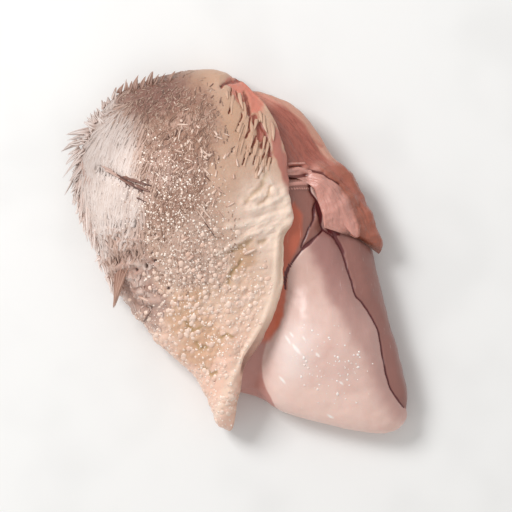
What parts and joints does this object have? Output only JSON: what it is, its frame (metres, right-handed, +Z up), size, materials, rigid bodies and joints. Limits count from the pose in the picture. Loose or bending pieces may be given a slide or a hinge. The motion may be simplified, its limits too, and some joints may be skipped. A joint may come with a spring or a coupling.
{
  "type": "raw chicken breast",
  "caption": "Raw chicken breast lying on its hidden side, with part of its feathered skin on and the pale lobe and shoulder muscle bare.",
  "frame": {"origin": "on the table under the middle of the breast's box", "axes": "+Z up from the table, +Y towards the wing end, -Y towards the end where the skin hangs past the meat in a point, +X towards the bare meat"},
  "size_m": [0.1526, 0.163, 0.0513],
  "materials": {
    "pale_meat": "wet raw breast meat, pale pink",
    "red_meat": "wet raw shoulder muscle, brownish red, with a salmon torn flap",
    "skin": "moist raw poultry skin, cream, with wet down and quill stubs"
  },
  "bodies": {
    "root": {"fillet": "pale_meat", "shoulder_muscle": "red_meat", "skin": "skin"}
  },
  "joints": []
}
